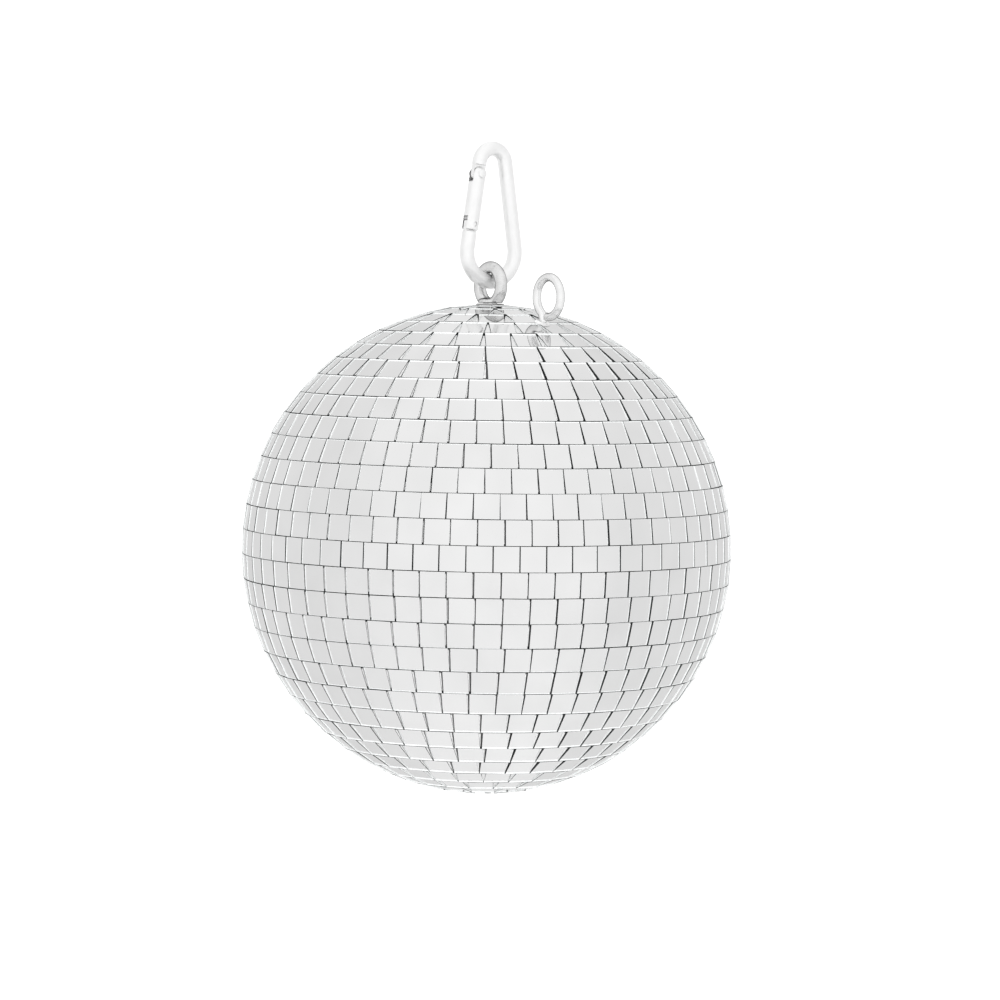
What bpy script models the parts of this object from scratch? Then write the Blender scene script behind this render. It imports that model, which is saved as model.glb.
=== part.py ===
"""Mirror ball, 200 mm, with its hanging eye, its safety eye and the snap hook that it hangs on.

The origin is the point inside the top of the snap hook where the hook rests on whatever
holds it, and +Z is up. The hook lies in the XZ plane. Both eyes lie in the YZ plane.
"""
import math

import bmesh
import bpy
from mathutils import Matrix, Vector

MM = 0.001
GAP = 0.3 * MM                      # left between pieces that touch
AXIS_TOLERANCE = 0.001 * MM         # a turned profile point closer than this is on the axis

# Mirrors
FACE_RADIUS = 99.75 * MM            # ball centre to the middle of a mirror's face
MIRROR_SIZE = 9.85 * MM
MIRROR_THICKNESS = 1.6 * MM
ROW_PITCH = math.radians(5.85)
TOP_EDGE_LATITUDE = math.radians(86.4)
BOTTOM_EDGE_LATITUDE = math.radians(-86.7)
MIRRORS_IN_ROW = (8, 10, 15, 22, 27, 33, 37, 43, 47, 51, 54, 57, 59, 59, 60,
                  59, 58, 56, 55, 51, 49, 45, 40, 36, 31, 26, 21, 15, 10, 8)
# How far round from +X the first joint of each row is, as a share of one mirror's room
ROW_TURNS = (0.30, 0.68, 0.29, 0.23, 0.34, 0.29, 0.94, 0.18, 0.05, 0.72, 0.21, 0.95, 0.83, 0.01, 0.24,
             0.89, 0.32, 0.98, 0.45, 0.62, 0.27, 0.12, 0.90, 0.44, 0.00, 0.91, 0.07, 0.25, 0.08, 0.46)
ROW_COUNT = len(MIRRORS_IN_ROW)
BOTTOM_MIRROR_RADIUS = 5.2 * MM
BOTTOM_MIRROR_SIDES = 8

# Hollow core, in two halves
CORE_RADIUS = FACE_RADIUS - MIRROR_THICKNESS - GAP
CORE_WALL = 1.8 * MM
CORE_SEGMENTS = 28
CORE_STEPS = 7                      # profile steps from the rim to the pole
SPIGOT_HEIGHT = 6.0 * MM
SPIGOT_DEPTH = 4.0 * MM
SPIGOT_WALL = 1.6 * MM
SPIGOT_CLEARANCE = 0.9 * MM
BOSS_RADIUS = 5.8 * MM              # the seat under the hanging eye
BOSS_TOP = 100.3 * MM

# Steel plate that spreads the load inside the top of the core
PLATE_THICKNESS = 1.0 * MM
PLATE_CLEARANCE = 0.9 * MM          # between the round plate and the flats of the core's inside
WASHER_SEAT_GAP = 0.6 * MM          # a flat washer under the flats of the plate's inside
PLATE_HALF_ANGLE = math.radians(27.0)
PLATE_STEPS = 4

# Hanging eye
EYE_WIRE = 2.5 * MM
EYE_SIDES = 12
EYE_RING_STEPS = 28
EYE_SHANK_SEGMENTS = 24
EYE_SHANK_EDGE = 0.5 * MM
EYE_COLLAR_EDGE = (0.9 * MM, 0.7 * MM)
EYE_RING = 7.4 * MM
EYE_HEIGHT = 117.6 * MM             # ball centre to the top of the ring
EYE_COLLAR_RADIUS = 5.1 * MM
EYE_COLLAR_HEIGHT = 1.6 * MM
EYE_SHANK_RADIUS = 3.0 * MM
EYE_SHANK_END = 83.5 * MM
EYE_WASHER = (6.0 * MM, 1.6 * MM)   # outer radius, thickness
EYE_LOCK_WASHER = (5.2 * MM, 1.5 * MM)
EYE_NUT = (5.0 * MM, 5.0 * MM)      # half of the width across flats, height
WASHER_SEGMENTS = 20
NUT_BORE_SEGMENTS = 20
LOCK_WASHER_STEPS = 22
LOCK_WASHER_OPENING = math.radians(14)

# Safety eye
SAFETY_POLAR_ANGLE = math.radians(21.0)
SAFETY_WIRE = 1.7 * MM
SAFETY_SIDES = 10
SAFETY_BEND_STEPS = 5
SAFETY_RING_STEPS = 26
SAFETY_HOLE_SEGMENTS = 20
SAFETY_RING = 7.95 * MM
SAFETY_NECK = 1.2 * MM              # from the ball's surface to the ring
SAFETY_BEND = 3.0 * MM
SAFETY_RING_END = math.radians(14.0)
SAFETY_SHANK_END = 87.0 * MM
SAFETY_WASHER = (4.5 * MM, 0.8 * MM)
SAFETY_LOCK_WASHER = (3.6 * MM, 1.0 * MM)
SAFETY_NUT = (3.5 * MM, 3.2 * MM)
SURFACE_RADIUS = 100.0 * MM

# Snap hook
HOOK_WIRE = 3.0 * MM
HOOK_SIDES = 14
LOW_BOW_STEPS = 18
HIGH_BOW_STEPS = 12
HOOK_LENGTH = 60.0 * MM
HOOK_LOW_BOW = 12.0 * MM
HOOK_HIGH_BOW = 6.5 * MM
NOSE_HEIGHT = 23.3 * MM             # above the lowest point of the hook
HINGE_BELOW_BOW = 5.0 * MM
HINGE_CLEARANCE = 3.7 * MM          # hinge pin to the end of the hook's wire
TONGUE_HALF_THICKNESS = 1.1 * MM
HINGE_TONGUE_RADIUS = 2.7 * MM
NOSE_TONGUE_HEIGHT = 4.6 * MM
NOTCH_RADIUS = 1.25 * MM
NOTCH_STEPS = 8
NOSE_TONGUE_ROOT_HALF = 2.6 * MM
NOSE_TONGUE_HALF = 2.0 * MM
NOSE_TONGUE_CORNER = 0.6 * MM
TONGUE_END_STEPS = 12
TONGUE_ROOT = 1.5 * MM              # how far a tongue reaches back into the wire

# Gate
GATE_RADIUS = 3.3 * MM
GATE_SEGMENTS = 20
GATE_TOP_STEPS = 6
GATE_EDGE = 0.5 * MM
CROSS_HOLE_SEGMENTS = 16
GATE_END_GAP = 0.55 * MM
FORK_HALF_SLOT = 1.5 * MM
HINGE_FORK_DEPTH = 3.6 * MM
NOSE_FORK_DEPTH = 5.4 * MM
LATCH_PIN_HEIGHT = 2.4 * MM         # above the gate's lower end
PIN_HOLE_CLEARANCE = GAP
HINGE_PIN_RADIUS = 1.0 * MM
HINGE_PIN_HEAD = (1.8 * MM, 0.5 * MM)
LATCH_PIN_RADIUS = 0.9 * MM
LATCH_PIN_HALF_LENGTH = 2.9 * MM
HINGE_PIN_SEGMENTS = 16
LATCH_PIN_SEGMENTS = 14
SPRING_BORE = 1.75 * MM
SPRING_RADIUS = 1.15 * MM
SPRING_WIRE = 0.25 * MM
SPRING_LENGTH = 8.0 * MM
SPRING_TURNS = 5
SPRING_STEPS = 9                    # in one turn
SPRING_SIDES = 5
SPRING_BORE_SEGMENTS = 16

# Heights that follow from the sizes above, in the hook's frame
HOOK_TOP = 2 * HOOK_WIRE
HOOK_BOTTOM = HOOK_TOP - HOOK_LENGTH
HIGH_BOW_CENTRE = HOOK_TOP - HOOK_WIRE - HOOK_HIGH_BOW
LOW_BOW_CENTRE = HOOK_BOTTOM + HOOK_WIRE + HOOK_LOW_BOW
LEG_LEAN = math.asin((HOOK_LOW_BOW - HOOK_HIGH_BOW) / (HIGH_BOW_CENTRE - LOW_BOW_CENTRE))
SWING_AXIS_HEIGHT = HOOK_BOTTOM + HOOK_WIRE
EYE_TOP_WIRE = SWING_AXIS_HEIGHT + HOOK_WIRE + EYE_WIRE + GAP
BALL_CENTRE_HEIGHT = EYE_TOP_WIRE + EYE_WIRE - EYE_HEIGHT


def clear_scene():
    for item in list(bpy.data.objects):
        bpy.data.objects.remove(item, do_unlink=True)


def make_material(name, colour, roughness, metallic):
    material = bpy.data.materials.new(name)
    material.use_nodes = True
    shader = material.node_tree.nodes["Principled BSDF"]
    shader.inputs["Base Color"].default_value = (*colour, 1.0)
    shader.inputs["Roughness"].default_value = roughness
    shader.inputs["Metallic"].default_value = metallic
    return material


def make_object(name, mesh, material, parent=None, smooth=True):
    """Turn a bmesh into a named object."""
    bmesh.ops.recalc_face_normals(mesh, faces=mesh.faces)
    data = bpy.data.meshes.new(name)
    mesh.to_mesh(data)
    mesh.free()
    data.materials.append(material)
    if smooth:
        data.shade_smooth()
        data.set_sharp_from_angle(angle=math.radians(35))
    item = bpy.data.objects.new(name, data)
    bpy.context.scene.collection.objects.link(item)
    item.parent = parent
    return item


def make_empty(name, location, parent=None):
    empty = bpy.data.objects.new(name, None)
    bpy.context.scene.collection.objects.link(empty)
    empty.location = location
    empty.parent = parent
    return empty


def combine(target, tool, operation):
    """Add or cut with another object, which stays in the file as a hidden guide."""
    modifier = target.modifiers.new(tool.name, 'BOOLEAN')
    modifier.operation = operation
    modifier.solver = 'EXACT'
    modifier.object = tool
    tool.hide_render = True
    tool.display_type = 'WIRE'


def turned(profile, segments, closed=False, phase=0.0):
    """Turn a profile of (radius, height) points about Z. A closed profile makes a ring."""
    mesh = bmesh.new()
    rings = []
    for radius, height in profile:
        if radius < AXIS_TOLERANCE:
            rings.append([mesh.verts.new((0, 0, height))])
            continue
        angles = [phase + math.tau * step / segments for step in range(segments)]
        ring = [mesh.verts.new((radius * math.cos(a), radius * math.sin(a), height)) for a in angles]
        rings.append(ring)
    pairs = list(zip(rings, rings[1:]))
    if closed:
        pairs.append((rings[-1], rings[0]))
    for first, second in pairs:
        for step in range(segments):
            after = (step + 1) % segments
            corners = [first[step % len(first)], first[after % len(first)]]
            corners += [second[after % len(second)], second[step % len(second)]]
            mesh.faces.new(list(dict.fromkeys(corners)))
    return mesh


def round_bar(points, radius, sides, reference):
    """Sweep a circle along points. The reference direction is never along the path."""
    mesh = bmesh.new()
    rings = []
    for index, point in enumerate(points):
        before = points[max(index - 1, 0)]
        after = points[min(index + 1, len(points) - 1)]
        tangent = (after - before).normalized()
        side = tangent.cross(reference).normalized()
        other = side.cross(tangent)
        ring = []
        for step in range(sides):
            angle = math.tau * step / sides
            outward = math.cos(angle) * side + math.sin(angle) * other
            ring.append(mesh.verts.new(point + radius * outward))
        rings.append(ring)
    for first, second in zip(rings, rings[1:]):
        for step in range(sides):
            after = (step + 1) % sides
            mesh.faces.new([first[step], first[after], second[after], second[step]])
    mesh.faces.new(rings[0])
    mesh.faces.new(rings[-1])
    return mesh


def plate_outline(outline, half_thickness):
    """Extrude an outline of (x, z) points to both sides of the XZ plane."""
    mesh = bmesh.new()
    front = [mesh.verts.new((x, -half_thickness, z)) for x, z in outline]
    back = [mesh.verts.new((x, half_thickness, z)) for x, z in outline]
    for index in range(len(outline)):
        after = (index + 1) % len(outline)
        mesh.faces.new([front[index], front[after], back[after], back[index]])
    mesh.faces.new(front)
    mesh.faces.new(back)
    return mesh


def arc(centre, radius, start, end, steps):
    """Points on an arc in a plane, from one angle to another."""
    angles = [start + (end - start) * step / steps for step in range(steps + 1)]
    return [(centre[0] + radius * math.cos(a), centre[1] + radius * math.sin(a)) for a in angles]


def sphere_profile(radius, start, end, steps):
    """Profile points on a sphere, from one latitude to another."""
    return arc((0, 0), radius, start, end, steps)


def height_on_sphere(sphere_radius, distance_from_axis):
    return math.sqrt(sphere_radius ** 2 - distance_from_axis ** 2)


def box(size, centre):
    mesh = bmesh.new()
    bmesh.ops.create_cube(mesh, size=1.0)
    bmesh.ops.scale(mesh, vec=size, verts=mesh.verts)
    bmesh.ops.translate(mesh, vec=centre, verts=mesh.verts)
    return mesh


def cylinder_profile(radius, low, high):
    return [(0, low), (radius, low), (radius, high), (0, high)]


# ---------------------------------------------------------------------------- mirrors

def row_edges(row):
    """Latitudes of a row's upper and lower edges. The last row is cut short at the bottom mirror."""
    high = TOP_EDGE_LATITUDE - row * ROW_PITCH
    low = high - ROW_PITCH if row < ROW_COUNT - 1 else BOTTOM_EDGE_LATITUDE
    return high, low


def mirror_row_mesh(row):
    """A ring of flat mirrors just under the ball's sphere.

    The mirrors' straight edges nearest the pole touch the row's upper circle from outside,
    and their corners nearest the equator lie on its lower circle, so rows never cross.
    """
    count = MIRRORS_IN_ROW[row]
    high, low = row_edges(row)
    latitude = (high + low) / 2
    half = (MIRROR_SIZE - FACE_RADIUS * (ROW_PITCH - (high - low))) / 2
    outer = []
    for side in (half, -half):
        radius = FACE_RADIUS * math.cos(latitude) - side * math.sin(latitude)
        height = FACE_RADIUS * math.sin(latitude) + side * math.cos(latitude)
        if side * latitude > 0:
            radius /= math.cos(math.pi / count)
        outer.append((radius, height))
    shrink = (FACE_RADIUS - MIRROR_THICKNESS) / FACE_RADIUS
    inner = [(radius * shrink, height * shrink) for radius, height in reversed(outer)]
    return turned(outer + inner, count, closed=True, phase=math.tau / count * ROW_TURNS[row])


def make_mirrors(ball, material, safety_hole):
    for row in range(ROW_COUNT):
        name = f"mirror_row_{row + 1:02d}"
        item = make_object(name, mirror_row_mesh(row), material, ball, smooth=False)
        high, low = row_edges(row)
        reach = 2 * SAFETY_WIRE / SURFACE_RADIUS
        if low - reach < math.pi / 2 - SAFETY_POLAR_ANGLE < high + reach:
            combine(item, safety_hole, 'DIFFERENCE')
    low = -FACE_RADIUS
    profile = cylinder_profile(BOTTOM_MIRROR_RADIUS, low, low + MIRROR_THICKNESS)
    make_object("bottom_mirror", turned(profile, BOTTOM_MIRROR_SIDES), material, ball, smooth=False)


# ---------------------------------------------------------------------------- core

def make_core(ball, material, safety_hole):
    inside = CORE_RADIUS - CORE_WALL
    hole = EYE_SHANK_RADIUS + GAP
    rim = GAP / 2
    quarter = math.pi / 2

    boss_latitude = math.acos(BOSS_RADIUS / CORE_RADIUS)
    hole_latitude = math.acos(hole / inside)
    profile = [(hole, BOSS_TOP), (BOSS_RADIUS, BOSS_TOP)]
    profile += sphere_profile(CORE_RADIUS, boss_latitude, rim / CORE_RADIUS, CORE_STEPS)
    profile += sphere_profile(inside, rim / inside, hole_latitude, CORE_STEPS)
    upper = make_object("core_upper_half", turned(profile, CORE_SEGMENTS, closed=True), material, ball)
    combine(upper, safety_hole, 'DIFFERENCE')

    spigot = inside - SPIGOT_CLEARANCE
    bore = spigot - SPIGOT_WALL
    thick_to = SPIGOT_DEPTH + CORE_WALL
    profile = sphere_profile(CORE_RADIUS, -quarter, -rim / CORE_RADIUS, CORE_STEPS)
    profile += [(spigot, -rim), (spigot, SPIGOT_HEIGHT), (bore, SPIGOT_HEIGHT), (bore, -SPIGOT_DEPTH)]
    profile += sphere_profile(inside, -math.asin(thick_to / inside), -quarter, CORE_STEPS)
    make_object("core_lower_half", turned(profile, CORE_SEGMENTS), material, ball)


def make_reinforcing_plate(ball, material, safety_hole):
    outside = CORE_RADIUS - CORE_WALL - PLATE_CLEARANCE
    inside = outside - PLATE_THICKNESS
    hole = EYE_SHANK_RADIUS + GAP
    edge = math.pi / 2 - PLATE_HALF_ANGLE
    profile = sphere_profile(outside, math.acos(hole / outside), edge, PLATE_STEPS)
    profile += sphere_profile(inside, edge, math.acos(hole / inside), PLATE_STEPS)
    plate = make_object("reinforcing_plate", turned(profile, CORE_SEGMENTS, closed=True), material, ball)
    combine(plate, safety_hole, 'DIFFERENCE')


# ---------------------------------------------------------------------------- fasteners

def make_washer(name, parent, material, bore, radius, low, high):
    profile = [(bore, low), (radius, low), (radius, high), (bore, high)]
    return make_object(name, turned(profile, WASHER_SEGMENTS, closed=True), material, parent)


def make_lock_washer(name, parent, material, bore, radius, low, high):
    """A split spring washer: a square bar bent most of the way round."""
    mesh = bmesh.new()
    sections = []
    for step in range(LOCK_WASHER_STEPS + 1):
        share = step / LOCK_WASHER_STEPS
        angle = LOCK_WASHER_OPENING / 2 + (math.tau - LOCK_WASHER_OPENING) * share
        corners = [(bore, low), (radius, low), (radius, high), (bore, high)]
        section = [mesh.verts.new((r * math.cos(angle), r * math.sin(angle), z)) for r, z in corners]
        sections.append(section)
    for first, second in zip(sections, sections[1:]):
        for side in range(4):
            after = (side + 1) % 4
            mesh.faces.new([first[side], first[after], second[after], second[side]])
    mesh.faces.new(sections[0])
    mesh.faces.new(sections[-1])
    return make_object(name, mesh, material, parent)


def make_nut(name, parent, material, bore, half_flats, low, high):
    corner = half_flats / math.cos(math.pi / 6)
    nut = make_object(name, turned(cylinder_profile(corner, low, high), 6), material, parent, smooth=False)
    margin = 1.0 * MM
    bore_profile = cylinder_profile(bore, low - margin, high + margin)
    hole = make_object(name + "_bore", turned(bore_profile, NUT_BORE_SEGMENTS), material, parent)
    combine(nut, hole, 'DIFFERENCE')
    return nut


def make_fasteners(prefix, parent, material, shank, washer, lock_washer, nut):
    """The washer, split washer and nut that hold an eye from inside, down from the plate."""
    plate_inside = CORE_RADIUS - CORE_WALL - PLATE_CLEARANCE - PLATE_THICKNESS
    bore = shank + GAP
    top = height_on_sphere(plate_inside, washer[0]) - WASHER_SEAT_GAP
    make_washer(prefix + "_washer", parent, material, bore, washer[0], top - washer[1], top)
    top -= washer[1] + GAP
    bottom = top - lock_washer[1]
    make_lock_washer(prefix + "_lock_washer", parent, material, bore, lock_washer[0], bottom, top)
    top = bottom - GAP
    make_nut(prefix + "_nut", parent, material, bore, nut[0], top - nut[1], top)


# ---------------------------------------------------------------------------- eyes

def make_hanging_eye(ball, material):
    """A ring that stands on a round collar, with a shank down through the ball's top."""
    seat = BOSS_TOP + GAP
    collar_top = seat + EYE_COLLAR_HEIGHT
    edge_width, edge_height = EYE_COLLAR_EDGE
    profile = [(0, EYE_SHANK_END), (EYE_SHANK_RADIUS - EYE_SHANK_EDGE, EYE_SHANK_END)]
    profile += [(EYE_SHANK_RADIUS, EYE_SHANK_END + EYE_SHANK_EDGE), (EYE_SHANK_RADIUS, seat)]
    profile += [(EYE_COLLAR_RADIUS, seat), (EYE_COLLAR_RADIUS, collar_top - edge_height)]
    profile += [(EYE_COLLAR_RADIUS - edge_width, collar_top), (0, collar_top)]
    eye = make_object("hanging_eye", turned(profile, EYE_SHANK_SEGMENTS), material, ball)

    last_side = math.tau * (EYE_SIDES - 1) / EYE_SIDES
    section = arc((EYE_RING, 0), EYE_WIRE, 0, last_side, EYE_SIDES - 1)
    ring = turned(section, EYE_RING_STEPS, closed=True)
    upright = Matrix.Rotation(math.pi / 2, 4, 'Y')
    centre = Matrix.Translation((0, 0, EYE_HEIGHT - EYE_WIRE - EYE_RING))
    bmesh.ops.transform(ring, matrix=centre @ upright, verts=ring.verts)
    everything = ring.verts[:] + ring.edges[:] + ring.faces[:]
    ring_foot = (0, 0, seat + EYE_COLLAR_HEIGHT / 4)
    cut = bmesh.ops.bisect_plane(ring, geom=everything, plane_co=ring_foot, plane_no=(0, 0, -1),
                                 clear_outer=True)
    rim = [item for item in cut["geom_cut"] if isinstance(item, bmesh.types.BMEdge)]
    bmesh.ops.holes_fill(ring, edges=rim, sides=0)
    guide = make_object("hanging_eye_ring", ring, material, ball)
    combine(eye, guide, 'UNION')
    make_fasteners("hanging_eye", ball, material, EYE_SHANK_RADIUS, EYE_WASHER, EYE_LOCK_WASHER, EYE_NUT)


def safety_eye_path():
    """The bent wire: up the shank, aside onto the ring, and round it nearly to the shank."""
    ring_centre = SURFACE_RADIUS + SAFETY_NECK + SAFETY_WIRE + SAFETY_RING
    reach = SAFETY_RING + SAFETY_BEND
    bend_height = ring_centre - math.sqrt(reach ** 2 - SAFETY_BEND ** 2)
    bend_end = math.atan2(ring_centre - bend_height, -SAFETY_BEND)
    points = [(0, SAFETY_SHANK_END)]
    points += arc((SAFETY_BEND, bend_height), SAFETY_BEND, math.pi, bend_end, SAFETY_BEND_STEPS)
    joined = math.atan2(bend_height - ring_centre, SAFETY_BEND)
    last = math.tau - math.pi / 2 - SAFETY_RING_END
    points += arc((0, ring_centre), SAFETY_RING, joined, last, SAFETY_RING_STEPS)[1:]
    return [Vector((0, across, height)) for across, height in points]


def make_safety_eye(ball, material):
    seat = make_empty("safety_eye_seat", (0, 0, 0), ball)
    seat.rotation_euler = (SAFETY_POLAR_ANGLE, 0, 0)
    wire = round_bar(safety_eye_path(), SAFETY_WIRE, SAFETY_SIDES, Vector((1, 0, 0)))
    make_object("safety_eye", wire, material, seat)
    make_fasteners("safety_eye", seat, material, SAFETY_WIRE, SAFETY_WASHER, SAFETY_LOCK_WASHER, SAFETY_NUT)


def make_safety_hole(ball, material):
    """The cutter for the safety eye's shank, through the mirrors, the core and the plate."""
    profile = cylinder_profile(SAFETY_WIRE + GAP, SAFETY_SHANK_END, SURFACE_RADIUS + SAFETY_NECK)
    hole = make_object("safety_eye_hole", turned(profile, SAFETY_HOLE_SEGMENTS), material, ball)
    hole.rotation_euler = (SAFETY_POLAR_ANGLE, 0, 0)
    hole.hide_render = True
    hole.display_type = 'WIRE'
    return hole


# ---------------------------------------------------------------------------- snap hook

def leg_point(distance, side):
    """A point on the centre of a leg, at a distance below the high bow. Side is -1 on the gate's side."""
    x = side * (HOOK_HIGH_BOW * math.cos(LEG_LEAN) + distance * math.sin(LEG_LEAN))
    z = HIGH_BOW_CENTRE + HOOK_HIGH_BOW * math.sin(LEG_LEAN) - distance * math.cos(LEG_LEAN)
    return x, z


def nose_distance():
    """How far the nose's face is below the high bow, along the leg."""
    high = leg_point(0, -1)[1]
    return (high - (HOOK_BOTTOM + NOSE_HEIGHT)) / math.cos(LEG_LEAN)


def hook_path():
    """Centre line of the wire, from the nose round the low bow and up the back to the hinge."""
    low = (0, LOW_BOW_CENTRE)
    high = (0, HIGH_BOW_CENTRE)
    points = [leg_point(nose_distance(), -1)]
    points += arc(low, HOOK_LOW_BOW, math.pi - LEG_LEAN, math.tau + LEG_LEAN, LOW_BOW_STEPS)
    points += arc(high, HOOK_HIGH_BOW, LEG_LEAN, math.pi - LEG_LEAN, HIGH_BOW_STEPS)
    points += [leg_point(HINGE_BELOW_BOW - HINGE_CLEARANCE, -1)]
    return [Vector((x, 0, z)) for x, z in points]


def gate_length():
    return nose_distance() - HINGE_BELOW_BOW - GATE_END_GAP


def make_cross_hole(name, height, radius, parent, material):
    """A cutter across the gate's axis, at a height in the hinge's frame."""
    half = GATE_RADIUS + 2 * MM
    cylinder = turned(cylinder_profile(radius, -half, half), CROSS_HOLE_SEGMENTS)
    hole = make_object(name, cylinder, material, parent)
    hole.rotation_euler = (math.pi / 2, 0, 0)
    hole.location = (0, 0, height)
    hole.hide_render = True
    hole.display_type = 'WIRE'
    return hole


def hinge_tongue_outline():
    top = HINGE_CLEARANCE + TONGUE_ROOT
    round_end = arc((0, 0), HINGE_TONGUE_RADIUS, math.pi, math.tau, TONGUE_END_STEPS)
    return [(-HINGE_TONGUE_RADIUS, top)] + round_end + [(HINGE_TONGUE_RADIUS, top)]


def nose_tongue_outline():
    """The nose's flat tongue, with the notch that the gate's latch pin rests in."""
    face = -(nose_distance() - HINGE_BELOW_BOW)
    top = face + NOSE_TONGUE_HEIGHT
    pin = LATCH_PIN_HEIGHT - gate_length()
    half = NOSE_TONGUE_ROOT_HALF
    lip = NOSE_TONGUE_HALF
    outline = [(-half, face - TONGUE_ROOT), (half, face - TONGUE_ROOT), (half, pin - NOTCH_RADIUS)]
    outline += arc((0, pin), NOTCH_RADIUS, math.tau * 3 / 4, math.tau / 4, NOTCH_STEPS)
    outline += [(lip, pin + NOTCH_RADIUS), (lip, top), (-lip, top), (-half, top - NOSE_TONGUE_CORNER)]
    return outline


def make_hook(material, hinge):
    wire = round_bar(hook_path(), HOOK_WIRE, HOOK_SIDES, Vector((0, 1, 0)))
    body = make_object("hook_body", wire, material)
    hole = make_cross_hole("hinge_pin_hole", 0, HINGE_PIN_RADIUS + PIN_HOLE_CLEARANCE, hinge, material)
    for name, outline in (("hinge_tongue", hinge_tongue_outline()), ("nose_tongue", nose_tongue_outline())):
        tongue = make_object(name, plate_outline(outline, TONGUE_HALF_THICKNESS), material, hinge)
        combine(body, tongue, 'UNION')
    combine(body, hole, 'DIFFERENCE')

    head_radius, head_height = HINGE_PIN_HEAD
    shaft = GATE_RADIUS + GAP
    profile = [(0, -shaft - head_height), (head_radius * 0.7, -shaft - head_height)]
    profile += [(head_radius, -shaft - head_height / 2), (head_radius, -shaft), (HINGE_PIN_RADIUS, -shaft)]
    profile += [(radius, -height) for radius, height in reversed(profile)]
    pin = make_object("gate_hinge_pin", turned(profile, HINGE_PIN_SEGMENTS), material, hinge)
    pin.rotation_euler = (math.pi / 2, 0, 0)


def make_gate(material, spring_material, hinge):
    length = gate_length()
    profile = [(0, -length), (GATE_RADIUS - GATE_EDGE, -length), (GATE_RADIUS, GATE_EDGE - length)]
    profile += arc((0, 0), GATE_RADIUS, 0, math.pi / 2, GATE_TOP_STEPS)
    gate = make_object("hook_gate", turned(profile, GATE_SEGMENTS), material, hinge)

    wide = 4 * GATE_RADIUS
    beyond = 2 * GATE_RADIUS
    hinge_slot = box((wide, 2 * FORK_HALF_SLOT, HINGE_FORK_DEPTH + beyond),
                     (0, 0, (beyond - HINGE_FORK_DEPTH) / 2))
    nose_slot = box((wide, 2 * FORK_HALF_SLOT, NOSE_FORK_DEPTH + beyond),
                    (0, 0, (NOSE_FORK_DEPTH - beyond) / 2 - length))
    bore_end = HINGE_FORK_DEPTH + SPRING_LENGTH
    bore = turned(cylinder_profile(SPRING_BORE, -bore_end, 0), SPRING_BORE_SEGMENTS)
    for name, cutter in (("hinge_slot", hinge_slot), ("nose_slot", nose_slot), ("spring_bore", bore)):
        combine(gate, make_object(name, cutter, material, hinge), 'DIFFERENCE')
    pin_height = LATCH_PIN_HEIGHT - length
    hinge_hole = make_cross_hole("gate_hinge_hole", 0, HINGE_PIN_RADIUS + PIN_HOLE_CLEARANCE, hinge, material)
    latch_hole = make_cross_hole("latch_pin_hole", pin_height, LATCH_PIN_RADIUS + PIN_HOLE_CLEARANCE,
                                 hinge, material)
    combine(gate, hinge_hole, 'DIFFERENCE')
    combine(gate, latch_hole, 'DIFFERENCE')

    pin_profile = cylinder_profile(LATCH_PIN_RADIUS, -LATCH_PIN_HALF_LENGTH, LATCH_PIN_HALF_LENGTH)
    pin = make_object("gate_latch_pin", turned(pin_profile, LATCH_PIN_SEGMENTS), material, hinge)
    pin.rotation_euler = (math.pi / 2, 0, 0)
    pin.location = (0, 0, pin_height)

    spring_top = -HINGE_TONGUE_RADIUS - GAP - SPRING_WIRE
    spring_bottom = -bore_end + GAP + SPRING_WIRE
    steps = SPRING_TURNS * SPRING_STEPS
    points = []
    for step in range(steps + 1):
        turn = math.tau * SPRING_TURNS * step / steps
        height = spring_bottom + (spring_top - spring_bottom) * step / steps
        points.append(Vector((SPRING_RADIUS * math.cos(turn), SPRING_RADIUS * math.sin(turn), height)))
    wire = round_bar(points, SPRING_WIRE, SPRING_SIDES, Vector((0, 0, 1)))
    make_object("gate_spring", wire, spring_material, hinge)


def main():
    clear_scene()
    mirror = make_material("mirror_glass", (0.90, 0.91, 0.92), 0.03, 1.0)
    plastic = make_material("core_plastic", (0.62, 0.63, 0.64), 0.55, 0.0)
    zinc = make_material("zinc_plated_steel", (0.74, 0.75, 0.76), 0.28, 1.0)
    plate_steel = make_material("plate_steel", (0.55, 0.56, 0.58), 0.40, 1.0)
    hook_steel = make_material("bright_hook_steel", (0.86, 0.87, 0.88), 0.22, 1.0)
    spring_steel = make_material("spring_steel", (0.45, 0.46, 0.48), 0.35, 1.0)

    hinge_x, hinge_z = leg_point(HINGE_BELOW_BOW, -1)
    hinge = make_empty("gate_hinge_axis", (hinge_x, 0, hinge_z))
    hinge.rotation_euler = (0, LEG_LEAN, 0)
    make_hook(hook_steel, hinge)
    make_gate(hook_steel, spring_steel, hinge)

    swing = make_empty("ball_swing_axis", (0, 0, SWING_AXIS_HEIGHT))
    ball = make_empty("ball_centre", (0, 0, BALL_CENTRE_HEIGHT - SWING_AXIS_HEIGHT), swing)
    safety_hole = make_safety_hole(ball, zinc)
    make_mirrors(ball, mirror, safety_hole)
    make_core(ball, plastic, safety_hole)
    make_reinforcing_plate(ball, plate_steel, safety_hole)
    make_hanging_eye(ball, zinc)
    make_safety_eye(ball, zinc)


main()
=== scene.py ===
"""Looks of the mirror ball: separate glass mirrors on the ball, the two eyes and the snap hook."""
import math
import random

import bmesh
import bpy
from mathutils import Matrix, Vector


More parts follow.
